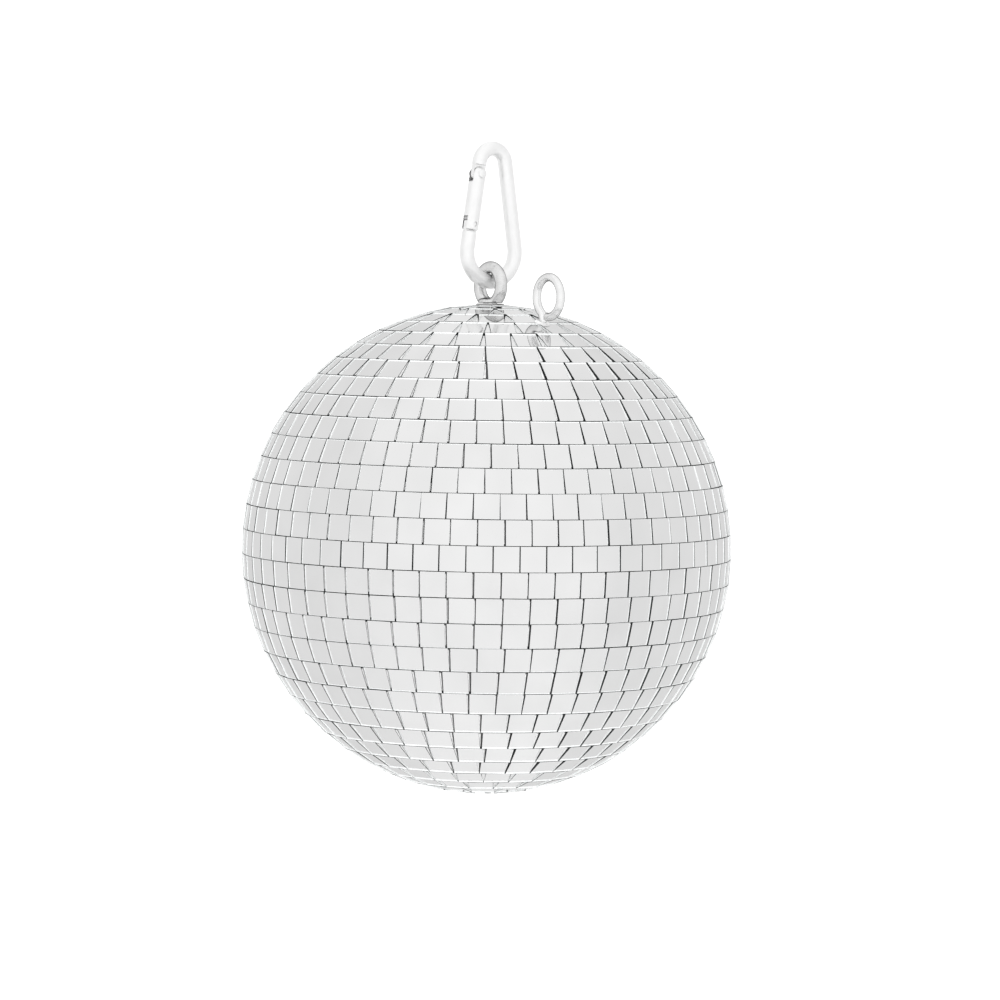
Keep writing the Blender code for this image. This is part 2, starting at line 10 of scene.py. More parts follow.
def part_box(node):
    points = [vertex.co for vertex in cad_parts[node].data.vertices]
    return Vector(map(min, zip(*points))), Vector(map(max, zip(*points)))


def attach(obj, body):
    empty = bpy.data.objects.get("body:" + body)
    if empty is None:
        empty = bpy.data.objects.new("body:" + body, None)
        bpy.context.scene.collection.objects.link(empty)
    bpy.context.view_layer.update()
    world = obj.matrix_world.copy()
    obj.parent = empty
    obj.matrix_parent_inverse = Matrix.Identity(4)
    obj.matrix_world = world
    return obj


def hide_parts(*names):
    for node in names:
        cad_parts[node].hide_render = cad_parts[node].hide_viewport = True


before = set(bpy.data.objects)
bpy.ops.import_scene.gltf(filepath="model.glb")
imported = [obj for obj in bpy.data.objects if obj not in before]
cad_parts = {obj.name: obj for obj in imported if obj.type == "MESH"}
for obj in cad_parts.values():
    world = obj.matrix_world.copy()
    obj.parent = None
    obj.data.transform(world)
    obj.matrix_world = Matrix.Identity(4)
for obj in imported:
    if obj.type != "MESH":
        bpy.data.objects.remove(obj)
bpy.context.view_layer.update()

MM = 0.001
SEED = 11
GLASS_IOR = 1.52

# Mirrors, laid out by the same rule as the CAD rows
FACE_RADIUS = 99.75 * MM
SURFACE_RADIUS = 100.0 * MM
MIRROR_WIDTH = 9.92 * MM
MIRROR_HEIGHT = 9.86 * MM
MIRROR_THICKNESS = 1.6 * MM
ROW_PITCH = math.radians(5.85)
TOP_EDGE_LATITUDE = math.radians(86.4)
BOTTOM_EDGE_LATITUDE = math.radians(-86.7)
MIRRORS_IN_ROW = (8, 10, 15, 22, 27, 33, 37, 43, 47, 51, 54, 57, 59, 59, 60,
                  59, 58, 56, 55, 51, 49, 45, 40, 36, 31, 26, 21, 15, 10, 8)
# How far round from +X the first joint of each row is, as a share of one mirror's room
ROW_TURNS = (0.30, 0.68, 0.29, 0.23, 0.34, 0.29, 0.94, 0.18, 0.05, 0.72,
             0.21, 0.95, 0.83, 0.01, 0.24, 0.89, 0.32, 0.98, 0.45, 0.62,
             0.27, 0.12, 0.90, 0.44, 0.00, 0.91, 0.07, 0.25, 0.08, 0.46)
ROW_COUNT = len(MIRRORS_IN_ROW)
LEAST_GAP = 0.16 * MM               # between two mirrors, in rows too tight for whole squares
BOTTOM_MIRROR_RADIUS = 5.2 * MM
BOTTOM_MIRROR_CORNERS = 8
NEAR_POLE = 1e-6                    # radians from the pole, so that east still has a direction

# Edges of the glass
EDGE_WIDTH = 0.04 * MM              # cut rim of the glass, seen from above
CORNER_SINE = 0.3                   # least sine of half a corner, so that no rim runs far in
SILVER_DEPTH = 0.37 * MM            # how deep the silvering seems to lie under the glass's face
SILVER_SHARES = (0.62, 0.38)        # of that depth: everywhere, and added half-way to the poles
POLAR_BEVEL = 0.31 * MM             # run of the bright bevel on the edges nearest the poles
BEVEL_FROM = math.radians(18)
BEVEL_FULL = math.radians(45)
BEVEL_FADE = math.radians(68)
BEVEL_END = math.radians(82)

# Unevenness of the laid mirrors: (low, high) in millimetres or degrees
STRIP_MIRRORS = (5, 11)             # how many mirrors a strip has, as it comes from the sheet
STRIP_RISE = (-0.06, 0.06)
STRIP_TURN = (-0.25, 0.25)
MIRROR_RISE = (-0.03, 0.03)
MIRROR_STAND = (-0.13, 0.07)        # out of the ball
MIRROR_TURN = (-0.2, 0.2)
MIRROR_WIDER = (-0.06, 0.02)        # at each side
TILT_NORTH = 0.22                   # standard deviations, in degrees
TILT_EAST = 0.28
SLACK_ALONG = (0.03 * MM, 0.10 * MM)    # least and most that a mirror is off its place in the row

# What fills the joints
GLUE_DEPTH = 0.20 * MM              # the glue along one side of the wide joints, below the faces
GLUE_LEAST = 0.60 * MM              # a joint narrower than this at its wide end shows no glue
GLUE_START = 0.52 * MM              # room in the joint where the glue begins
GLUE_START_SHARE = 0.1              # at least this share of the joint is open at its narrow end
GLUE_CLEARANCE = 0.03 * MM
GLUE_SHORT = 0.70 * MM              # left open at the joint's wide end
GLUE_WIDTH = 0.06 * MM              # at least
OPEN_JOINT = 0.42 * MM              # always left open beside the glue
OPEN_SHARE = 0.38                   # and this much of the rest
FILLER_GAP = 2.0 * MM               # a wedge wider than this at its foot takes a cut sliver
FILLER_CLEARANCE = 0.27 * MM        # beside the sliver's foot
FILLER_TIP = 0.25 * MM              # half of the sliver's width at its tip
FILLER_REACH = 0.55                 # of half the mirror's height, from its middle to the tip
BACKING_RADIUS = 98.12 * MM
BACKING_THICKNESS = 0.2 * MM
BACKING_EDGE = 0.0002               # radians that a band stops short of its row's edges

# Core
CORE_RADIUS = 97.85 * MM
CORE_WALL = 1.8 * MM
CORE_JOINT = 0.15 * MM              # half of the gap between its halves
BOSS_RADIUS = 5.8 * MM
BOSS_TOP = 100.3 * MM
BOSS_CHAMFER = 0.4 * MM

# Eyes
EYE_WIRE = 2.5 * MM
EYE_RING = 7.4 * MM
EYE_HEIGHT = 117.6 * MM
EYE_COLLAR_RADIUS = 5.1 * MM
EYE_COLLAR_HEIGHT = 1.6 * MM
EYE_COLLAR_EDGE = 0.15 * MM
EYE_COLLAR_SLOPE = (0.9 * MM, 0.7 * MM)     # its upper edge: inwards and down
EYE_COLLAR_CROWN = 0.5 * MM
EYE_SHANK_RADIUS = 3.0 * MM
EYE_SHANK_END = 83.5 * MM
EYE_SHANK_NECK = 0.2 * MM           # the plain neck above the thread is this much thinner
EYE_SHANK_TIP = 0.7 * MM            # chamfer at the thread's end
THREAD_PITCH = 1.0 * MM
THREAD_DEPTH = 0.45 * MM
THREAD_STOP = 0.9 * MM              # below the collar
EYE_NECK = (0.6 * MM, 0.8 * MM)     # the plain neck's ends, below the collar's foot and above it
EYE_RING_SINK = 0.05 * MM           # the ring is cut off this much above the collar's foot
EYE_RING_SIDES = 32
SKIN_CELL = 0.24 * MM               # of the remesh that runs the eye's pieces together
SEAT_GAP = 0.3 * MM
SAFETY_POLAR_ANGLE = math.radians(21.0)
SAFETY_WIRE = 1.7 * MM
SAFETY_RING = 7.95 * MM
SAFETY_NECK = 1.2 * MM
SAFETY_BEND = 3.0 * MM
SAFETY_RING_END = math.radians(14.0)
SAFETY_SHANK_END = 87.0 * MM
SAFETY_HOLE_GAP = 0.35 * MM         # round the wire, cut from the mirrors
SAFETY_HOLE_REACH = 2.2 * SAFETY_WIRE / SURFACE_RADIUS
SEALANT_LOW = 98.3 * MM
SEALANT_SHOULDER = 99.55 * MM
SEALANT_TOP = (100.2 * MM, 100.5 * MM)
SEALANT_GAP = 0.02 * MM
SEALANT_WIDTH = 1.0 * MM
SEALANT_ROUND = 0.5 * MM
SEALANT_LIP = 0.35 * MM

# Snap hook
HOOK_WIRE = 3.0 * MM
HOOK_LENGTH = 60.0 * MM
HOOK_LOW_BOW = 12.0 * MM
HOOK_HIGH_BOW = 6.5 * MM
NOSE_HEIGHT = 23.3 * MM
HINGE_BELOW_BOW = 5.0 * MM
HINGE_CLEARANCE = 3.7 * MM
TONGUE_HALF_THICKNESS = 1.1 * MM
HINGE_TONGUE_RADIUS = 2.7 * MM
NOSE_TONGUE_HEIGHT = 4.6 * MM
NOTCH_RADIUS = 1.25 * MM
TONGUE_ROOT = 1.5 * MM
NOSE_TONGUE_HALF = 2.6 * MM
NOSE_LIP_HALF = 2.0 * MM
NOSE_CHAMFER = 0.6 * MM
GATE_RADIUS = 3.3 * MM
GATE_EDGE = 0.45 * MM
GATE_END_GAP = 0.55 * MM
FORK_HALF_SLOT = 1.5 * MM
HINGE_FORK_DEPTH = 3.6 * MM
NOSE_FORK_DEPTH = 5.4 * MM
LATCH_PIN_HEIGHT = 2.4 * MM
PIN_HOLE_CLEARANCE = 0.3 * MM
HINGE_PIN_RADIUS = 1.0 * MM
HINGE_PIN_HEAD = (1.8 * MM, 0.5 * MM)
LATCH_PIN_RADIUS = 0.9 * MM
LATCH_PIN_HALF_LENGTH = 2.9 * MM
LATCH_PIN_CHAMFER = 0.15 * MM
LATCH_PIN_CLEARANCE = 0.05 * MM
BORE_HALF_LENGTH = GATE_RADIUS + 2 * MM     # of the cutters for the pins' holes
SPRING_BORE = 1.75 * MM
SPRING_RADIUS = 1.15 * MM
SPRING_WIRE = 0.25 * MM
SPRING_LENGTH = 8.0 * MM
SPRING_TURNS = 5
STEPS_IN_TURN = 28

HOOK_TOP = 2 * HOOK_WIRE
HOOK_BOTTOM = HOOK_TOP - HOOK_LENGTH
HIGH_BOW_CENTRE = HOOK_TOP - HOOK_WIRE - HOOK_HIGH_BOW
LOW_BOW_CENTRE = HOOK_BOTTOM + HOOK_WIRE + HOOK_LOW_BOW
LEG_LEAN = math.asin((HOOK_LOW_BOW - HOOK_HIGH_BOW) / (HIGH_BOW_CENTRE - LOW_BOW_CENTRE))

# Places taken from the frame
BOTTOM_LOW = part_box("bottom_mirror")[0]
BALL_CENTRE = Vector((0, 0, BOTTOM_LOW[2] + FACE_RADIUS))

# Camera: how it stands to the ball
VIEW_TURN = math.radians(36.0)
VIEW_ELEVATION = math.radians(3.9)
VIEW_ROLL = math.radians(0.85)
VIEW_DISTANCE = 1.649
VIEW_LENS = 145.0
VIEW_SENSOR = 36.0
AIM_RIGHT = 5.5 * MM
AIM_UP = 20.0 * MM

FLOOR_DROP = 2.40                   # below the ball, which hangs overhead
FLOOR_RADIUS = 30.0
FLOOR_HEIGHT = BOTTOM_LOW[2] - FLOOR_DROP
# The floor's colour is painted light: it follows the studio's brightness, lighter behind the ball
# and ahead, dimmer to both sides.
FLOOR_PAINTED_LIGHT = 0.70
FLOOR_PAINTED_BACKDROP_STOPS = (0.976, 0.982)   # where the painted light on the floor behind the ball begins and is full

# Studio, in directions from the ball: to the camera's right, and towards the camera
STUDIO_SIDE = (math.cos(VIEW_TURN), -math.sin(VIEW_TURN), 0.0)
STUDIO_FRONT = (-math.sin(VIEW_TURN) * math.cos(VIEW_ELEVATION),
                -math.cos(VIEW_TURN) * math.cos(VIEW_ELEVATION), math.sin(VIEW_ELEVATION))
# How bright the white walls are, against half the tangent of half the angle from the front
SIDE_LEVELS = ((0.13, 1.010), (0.19, 1.005), (0.25, 0.978), (0.29, 0.940),
               (0.33, 0.903), (0.42, 0.881), (1.0, 0.885))
OVER_ONE = 1.02                     # 1 in that tangent's divisor, and a little, for straight behind
FRONT_PANEL = 0.030                 # how much brighter the wall is straight ahead
FRONT_STOPS = (0.70, 0.86)
BACK_LEVEL = 1.25
WORLD_BACK_STOPS = (0.980, 0.986)
WORLD_GAIN = 0.7
SUN_WIDTH = math.radians(40)
SUNS = {"front_lamp": (0, 45, 0.9), "top_lamp": (0, 90, 0.55),      # turn, elevation and strength
        "left_lamp": (-120, 20, 0.3), "right_lamp": (120, 20, 0.3)}
LOW_LAMP_SIZE = 1.0
LOW_LAMP_POWER = 13.0               # watts
LOW_LAMP_AWAY = 1.5
LOW_LAMP_DROP = 0.9

WHOLE_TURN = 96                     # segments of the large rings
ON_AXIS = 1e-6                      # a profile's point nearer its axis than this is on it


# ---------------------------------------------------------------------------- materials

def new_material(name):
    material = bpy.data.materials.new(name)
    material.use_nodes = True
    return material, material.node_tree, material.node_tree.nodes["Principled BSDF"]


def add_node(tree, kind, **settings):
    node = tree.nodes.new(kind)
    for key, value in settings.items():
        setattr(node, key, value)
    return node


def noise(tree, scale, detail):
    """Noise in the object's own space, with scale in cycles per metre."""
    place = add_node(tree, "ShaderNodeTexCoord")
    texture = add_node(tree, "ShaderNodeTexNoise")
    texture.inputs["Scale"].default_value = scale
    texture.inputs["Detail"].default_value = detail
    tree.links.new(place.outputs["Object"], texture.inputs["Vector"])
    return texture.outputs["Fac"]


def ramp(tree, factor, stops):
    """A colour ramp from (position, grey or colour) stops."""
    node = add_node(tree, "ShaderNodeValToRGB")
    elements = node.color_ramp.elements
    while len(elements) < len(stops):
        elements.new(0.5)
    for element, (position, value) in zip(elements, stops):
        colour = (value, value, value) if isinstance(value, float) else value
        element.position = position
        element.color = (*colour, 1.0)
    tree.links.new(factor, node.inputs["Fac"])
    return node.outputs["Color"]


def bump(tree, shader, height, strength, distance):
    node = add_node(tree, "ShaderNodeBump")
    node.inputs["Strength"].default_value = strength
    node.inputs["Distance"].default_value = distance
    tree.links.new(height, node.inputs["Height"])
    tree.links.new(node.outputs["Normal"], shader.inputs["Normal"])


def surface(name, tone, rough, bumps, sockets=None):
    """A material whose tone, roughness and fine bumps each follow a noise.

    Each of the three starts with the noise's scale and detail. Two stops of a ramp follow for tone
    and rough, and strength and distance for bumps. The sockets hold their one value all over.
    """
    material, tree, shader = new_material(name)
    for socket, value in (sockets or {}).items():
        shader.inputs[socket].default_value = value
    for socket, (scale, detail, *stops) in (("Base Color", tone), ("Roughness", rough)):
        tree.links.new(ramp(tree, noise(tree, scale, detail), stops), shader.inputs[socket])
    scale, detail, strength, distance = bumps
    bump(tree, shader, noise(tree, scale, detail), strength, distance)
    return material


def metal(edge=1.0):
    """Sockets of a metal. An edge tint under 1 dulls it where it turns away."""
    return {"Metallic": 1.0, "Specular Tint": (edge, edge, edge, 1.0)}


def bright_metal(name, dark, light, rough_low, rough_high, edge=1.0):
    """Bright plated steel with a little uneven polish."""
    return surface(name, tone=(240, 4.0, (0.30, dark), (0.70, light)),
                   rough=(520, 4.0, (0.30, rough_low), (0.72, rough_high)),
                   bumps=(1300, 3.0, 0.10, 0.00006), sockets=metal(edge))


# Almost a perfect mirror, faintly uneven, with a little haze
SILVER = surface("silvered_glass", tone=(45, 2.0, (0.30, 0.800), (0.70, 0.850)),
                 rough=(260, 4.0, (0.35, 0.015), (0.75, 0.055)),
                 bumps=(110, 1.0, 0.05, 0.0004), sockets=metal(0.87))
# The cut edge of the glass under its face, white where it catches the light
RIM = surface("cut_glass_rim",
              tone=(900, 3.0, (0.30, (0.79, 0.81, 0.81)), (0.65, (0.91, 0.92, 0.92))),
              rough=(1500, 2.0, (0.30, 0.18), (0.75, 0.42)),
              bumps=(2600, 3.0, 0.35, 0.00008), sockets={"IOR": GLASS_IOR})
# The sides of a mirror in the joints, down to its painted back
SIDES = surface("mirror_sides",
                tone=(700, 3.0, (0.30, (0.020, 0.023, 0.023)), (0.70, (0.060, 0.066, 0.066))),
                rough=(1300, 2.0, (0.30, 0.25), (0.75, 0.50)),
                bumps=(2200, 3.0, 0.4, 0.0001), sockets={"IOR": GLASS_IOR})
# The grey cloth that the mirrors are laid on
BACKING = surface("backing_cloth", tone=(350, 4.0, (0.25, 0.08), (0.75, 0.20)),
                  rough=(600, 2.0, (0.30, 0.70), (0.70, 0.92)), bumps=(1400, 3.0, 0.6, 0.0002))
# Pale glue pressed up between the mirrors
GLUE = surface("pale_glue", tone=(500, 3.0, (0.30, 0.58), (0.70, 0.78)),
               rough=(800, 2.0, (0.30, 0.45), (0.70, 0.75)), bumps=(1500, 3.0, 0.5, 0.0002))
PLASTIC = surface("core_plastic", tone=(90, 3.0, (0.30, 0.30), (0.70, 0.36)),
                  rough=(500, 3.0, (0.30, 0.45), (0.70, 0.62)), bumps=(1500, 2.0, 0.25, 0.0001))
SEALANT = surface("clear_sealant", tone=(400, 3.0, (0.30, 0.70), (0.70, 0.86)),
                  rough=(300, 2.0, (0.30, 0.16), (0.70, 0.34)), bumps=(700, 2.0, 0.4, 0.0003))
HOOK_METAL = bright_metal("bright_zinc_hook", 0.94, 0.98, 0.28, 0.42)
EYE_METAL = bright_metal("bright_zinc_eye", 0.70, 0.86, 0.14, 0.26, edge=0.15)
SAFETY_METAL = bright_metal("bright_zinc_wire", 0.88, 0.96, 0.12, 0.22, edge=0.15)
INNER_METAL = bright_metal("plain_steel", 0.45, 0.58, 0.28, 0.45)
SPRING_METAL = bright_metal("spring_wire", 0.42, 0.55, 0.22, 0.36)
MIRROR_MATERIALS = [SILVER, RIM, SIDES, BACKING, GLUE]
SILVER_SLOT, RIM_SLOT, SIDE_SLOT, BACKING_SLOT, GLUE_SLOT = range(len(MIRROR_MATERIALS))


# ---------------------------------------------------------------------------- mesh helpers

def sharpen(data, angle):
    """Shade a mesh smooth up to an angle between faces, in degrees."""
    data.shade_smooth()
    data.set_sharp_from_angle(angle=math.radians(angle))


def to_object(name, mesh, materials, smooth_angle=None):
    """Turn a bmesh into an object, shaded smooth up to an angle between faces."""
    data = bpy.data.meshes.new(name)
    mesh.to_mesh(data)
    mesh.free()
    for material in materials:
        data.materials.append(material)
    if smooth_angle is not None:
        sharpen(data, smooth_angle)
    item = bpy.data.objects.new(name, data)
    bpy.context.scene.collection.objects.link(item)
    return item


def move(mesh, matrix):
    bmesh.ops.transform(mesh, matrix=matrix, verts=mesh.verts)
    return mesh


def facing_out(mesh):
    bmesh.ops.recalc_face_normals(mesh, faces=mesh.faces)
    return mesh


def turned(profile, segments, closed=False):
    """Turn a profile of (radius, height) points about Z. A closed profile makes a ring."""
    mesh = bmesh.new()
    rings = []
    for radius, height in profile:
        if radius < ON_AXIS:
            rings.append([mesh.verts.new((0, 0, height))])
            continue
        angles = [math.tau * step / segments for step in range(segments)]
        rings.append([mesh.verts.new((radius * math.cos(a), radius * math.sin(a), height))
                      for a in angles])
    pairs = list(zip(rings, rings[1:]))
    if closed:
        pairs.append((rings[-1], rings[0]))
    for first, second in pairs:
        for step in range(segments):
            after = (step + 1) % segments
            corners = [first[step % len(first)], first[after % len(first)]]
            corners += [second[after % len(second)], second[step % len(second)]]
            mesh.faces.new(list(dict.fromkeys(corners)))
    return facing_out(mesh)


def round_bar(points, radius, sides, reference, end_rounding=0.0):
    """Sweep a circle along points, with its ends rounded off by a small radius."""
    first_way = (points[0] - points[1]).normalized()
    last_way = (points[-1] - points[-2]).normalized()
    stations = [(point, radius) for point in points]
    if end_rounding > 0:
        for angle in (30, 60, 90):
            reach = end_rounding * math.sin(math.radians(angle))
            thinner = radius - end_rounding * (1 - math.cos(math.radians(angle)))
            stations.insert(0, (points[0] + first_way * (reach - end_rounding), thinner))
            stations.append((points[-1] + last_way * (reach - end_rounding), thinner))
        ends = (points[0], points[-1])
        stations = [item for item in stations if item[1] < radius or item[0] not in ends]
    mesh = bmesh.new()
    rings = []
    for index, (point, ring_radius) in enumerate(stations):
        before = stations[max(index - 1, 0)][0]
        after = stations[min(index + 1, len(stations) - 1)][0]
        tangent = (after - before).normalized()
        side = tangent.cross(reference).normalized()
        other = side.cross(tangent)
        ring = []
        for step in range(sides):
            angle = math.tau * step / sides
            offset = math.cos(angle) * side + math.sin(angle) * other
            ring.append(mesh.verts.new(point + ring_radius * offset))
        rings.append(ring)
    for first, second in zip(rings, rings[1:]):
        for step in range(sides):
            after = (step + 1) % sides
            mesh.faces.new([first[step], first[after], second[after], second[step]])
    mesh.faces.new(rings[0])
    mesh.faces.new(rings[-1])
    return facing_out(mesh)


def plate_outline(outline, half_thickness):
    """Extrude an outline of (x, z) points to both sides of the XZ plane."""
    mesh = bmesh.new()
    front = [mesh.verts.new((x, -half_thickness, z)) for x, z in outline]
    back = [mesh.verts.new((x, half_thickness, z)) for x, z in outline]
    for index in range(len(outline)):
        after = (index + 1) % len(outline)
        mesh.faces.new([front[index], front[after], back[after], back[index]])
    mesh.faces.new(front)
    mesh.faces.new(back)
    return facing_out(mesh)


def arc(centre, radius, start, end, steps):
    angles = [start + (end - start) * step / steps for step in range(steps + 1)]
    return [(centre[0] + radius * math.cos(a), centre[1] + radius * math.sin(a)) for a in angles]


def box(size, centre):
    mesh = bmesh.new()
    bmesh.ops.create_cube(mesh, size=1.0)
    bmesh.ops.scale(mesh, vec=size, verts=mesh.verts)
    bmesh.ops.translate(mesh, vec=centre, verts=mesh.verts)
    return mesh


def cylinder(radius, low, high, segments):
    return turned([(0, low), (radius, low), (radius, high), (0, high)], segments)


def across(mesh, height=0.0):
    """Turn a part made along Z to lie along Y, at a height."""
    return move(mesh, Matrix.Translation((0, 0, height)) @ Matrix.Rotation(math.pi / 2, 4, 'X'))


def apply_modifiers(item):
    graph = bpy.context.evaluated_depsgraph_get()
    data = bpy.data.meshes.new_from_object(item.evaluated_get(graph))
    item.modifiers.clear()
    old = item.data
    item.data = data
    bpy.data.meshes.remove(old)


def combine_objects(item, tool, operation):
    """Add or cut with another object, and keep only the result."""
    modifier = item.modifiers.new("combine", 'BOOLEAN')
    modifier.operation = operation
    modifier.solver = 'EXACT'
    modifier.object = tool
    apply_modifiers(item)
    bpy.data.objects.remove(tool, do_unlink=True)


def combine(item, mesh, operation, materials):
    """Add or cut with a bmesh."""
    combine_objects(item, to_object(item.name + "_tool", mesh, materials), operation)


def move_data(item, matrix):
    item.data.transform(matrix)
    item.data.update()


# ---------------------------------------------------------------------------- mirrors

def row_edges(row):
    """Latitudes of a row's upper and lower edges. The last row stops at the bottom mirror."""
    high = TOP_EDGE_LATITUDE - row * ROW_PITCH
    low = high - ROW_PITCH if row < ROW_COUNT - 1 else BOTTOM_EDGE_LATITUDE
    return high, low


def row_latitude(row):
    return sum(row_edges(row)) / 2


def mirror_height(row):
    high, low = row_edges(row)
    return MIRROR_HEIGHT - FACE_RADIUS * (ROW_PITCH - (high - low))


def half_width_at(row, latitude, height):
    """Half of the room that one mirror has, at a height on its face above its middle."""
    radius = FACE_RADIUS * math.cos(latitude) - height * math.sin(latitude)
    return radius * math.tan(math.pi / MIRRORS_IN_ROW[row])


def silver_depth(latitude):
    """The rim shows less near the equator and the poles, where it would be seen almost edge on."""
    always, added = SILVER_SHARES
    return SILVER_DEPTH * (always + added * abs(math.sin(2 * latitude)))


def polar_bevel(latitude):
    """How far the bevel on a mirror's polar edge runs in, negative in the lower half."""
    rise = (abs(latitude) - BEVEL_FROM) / (BEVEL_FULL - BEVEL_FROM)
    fall = (BEVEL_END - abs(latitude)) / (BEVEL_END - BEVEL_FADE)
    return math.copysign(POLAR_BEVEL * min(max(rise, 0), max(fall, 0), 1), latitude)


def add_mirror(mesh, outline, place, depth, bevel=0.0):
    """One mirror from its outline: glass rim, silvering below it, sides and back."""
    middle = sum((Vector(point) for point in outline), Vector((0, 0))) / len(outline)
    inner = []
    for index, point in enumerate(outline):
        before = Vector(outline[index - 1]) - Vector(point)
        after = Vector(outline[(index + 1) % len(outline)]) - Vector(point)
        between = (before.normalized() + after.normalized()).normalized()
        sine = max(abs(before.normalized().cross(between)), CORNER_SINE)
        step = between * (EDGE_WIDTH / sine)
        if step.dot(middle - Vector(point)) < 0:
            step = -step
        inner.append(Vector(point) + step)
    silver = [Vector((x, y - bevel)) if y * bevel > 0 else Vector((x, y)) for x, y in inner]
    levels = [(outline, -MIRROR_THICKNESS), (outline, 0.0), (inner, 0.0), (silver, -depth)]
    rings = []
    for shape, level in levels:
        rings.append([mesh.verts.new(place @ Vector((x, y, level))) for x, y in shape])
    slots = (SIDE_SLOT, RIM_SLOT, RIM_SLOT)
    for first, second, slot in zip(rings, rings[1:], slots):
        for index in range(len(outline)):
            after = (index + 1) % len(outline)
            face = mesh.faces.new([first[index], first[after], second[after], second[index]])
            face.material_index = slot
    mesh.faces.new(rings[-1]).material_index = SILVER_SLOT
    mesh.faces.new(list(reversed(rings[0]))).material_index = SIDE_SLOT


def add_block(mesh, outline, place, top, bottom, slot):
    """A closed block between two depths."""
    rings = []
    for depth in (bottom, top):
        rings.append([mesh.verts.new(place @ Vector((x, y, depth))) for x, y in outline])
    low, high = rings
    for index in range(len(outline)):
        after = (index + 1) % len(outline)
        face = mesh.faces.new([low[index], low[after], high[after], high[index]])
        face.material_index = slot
    mesh.faces.new(high).material_index = slot
    mesh.faces.new(list(reversed(low))).material_index = slot


def mirror_outline(row, latitude, jitter):
    """Corners of a mirror, narrowed where its row is too tight for a whole square."""
    half_height = mirror_height(row) / 2
    corners = []
    for height, order in ((-half_height, (-1, 1)), (half_height, (1, -1))):
        room = half_width_at(row, latitude, height) - LEAST_GAP / 2
        half = min(MIRROR_WIDTH / 2 + jitter, room)
        corners += [(side * half, height) for side in order]
    return corners


def mirror_place(latitude, longitude, spin=0, tilt=(0, 0), nudge=(0, 0, 0)):
    """The frame of a mirror: x along the row, y towards the north pole, z out of the ball."""
    out = Vector((math.cos(latitude) * math.cos(longitude),
                  math.cos(latitude) * math.sin(longitude), math.sin(latitude)))
    east = Vector((-math.sin(longitude), math.cos(longitude), 0))
    north = out.cross(east)
    frame_matrix = Matrix((east, north, out)).transposed().to_4x4()
    middle = BALL_CENTRE + out * (FACE_RADIUS + nudge[2])
    shift = Matrix.Translation(middle + east * nudge[0] + north * nudge[1])
    turn = Matrix.Rotation(spin, 4, 'Z')
    turn = turn @ Matrix.Rotation(tilt[0], 4, 'X') @ Matrix.Rotation(tilt[1], 4, 'Y')
    return shift @ frame_matrix @ turn


def filler_outline(row, latitude):
    """A sliver cut to fill the wedge between two mirrors near a pole, or None if it is narrow."""
    toward_equator = -1 if latitude > 0 else 1
    half_height = mirror_height(row) / 2
    wide_height = toward_equator * half_height
    free = 2 * (half_width_at(row, latitude, wide_height) - MIRROR_WIDTH / 2)
    if free < FILLER_GAP:
        return None
    foot = free / 2 - FILLER_CLEARANCE
    tip = -wide_height * FILLER_REACH
    outline = [(-foot, wide_height), (foot, wide_height), (FILLER_TIP, tip), (-FILLER_TIP, tip)]
    return outline if toward_equator < 0 else list(reversed(outline))


def glue_outline(row, latitude):
    """The glue that shows along one side of a joint, or None if the joint is narrow all along."""
    toward_equator = -1 if latitude > 0 else 1
    half_height = mirror_height(row) / 2
    wide = 2 * half_width_at(row, latitude, toward_equator * half_height) - MIRROR_WIDTH
    narrow = 2 * half_width_at(row, latitude, -toward_equator * half_height) - MIRROR_WIDTH
    if wide < GLUE_LEAST or filler_outline(row, latitude):
        return None
    share = max((GLUE_START - narrow) / (wide - narrow), GLUE_START_SHARE)
    low = toward_equator * (half_height - GLUE_SHORT)
    high = -toward_equator * half_height * (1 - 2 * share)
    edges = []
    for height, room in ((low, wide), (high, max(narrow, GLUE_START))):
        left = GLUE_CLEARANCE - room / 2
        filled = (room - OPEN_JOINT) * (1 - OPEN_SHARE)
        edges.append((left, left + max(filled, GLUE_WIDTH), height))
    (left, right, height), (left_high, right_high, height_high) = edges
    outline = [(left, height), (right, height), (right_high, height_high), (left_high, height_high)]
    return outline if toward_equator < 0 else list(reversed(outline))


def add_backing(mesh, row):
    """A thin curved band under the row, one closed ring."""
    high, low = row_edges(row)
    high -= BACKING_EDGE
    low += BACKING_EDGE
    inner = BACKING_RADIUS - BACKING_THICKNESS
    latitudes = (high, (high + low) / 2, low)
    profile = [(BACKING_RADIUS * math.cos(a), BACKING_RADIUS * math.sin(a)) for a in latitudes]
    profile += [(inner * math.cos(a), inner * math.sin(a)) for a in reversed(latitudes)]
    band = turned(profile, WHOLE_TURN, closed=True)
    move(band, Matrix.Translation(BALL_CENTRE))
    for face in band.faces:
        face.material_index = BACKING_SLOT
    data = bpy.data.meshes.new("band")
    band.to_mesh(data)
    band.free()
    mesh.from_mesh(data)
    bpy.data.meshes.remove(data)


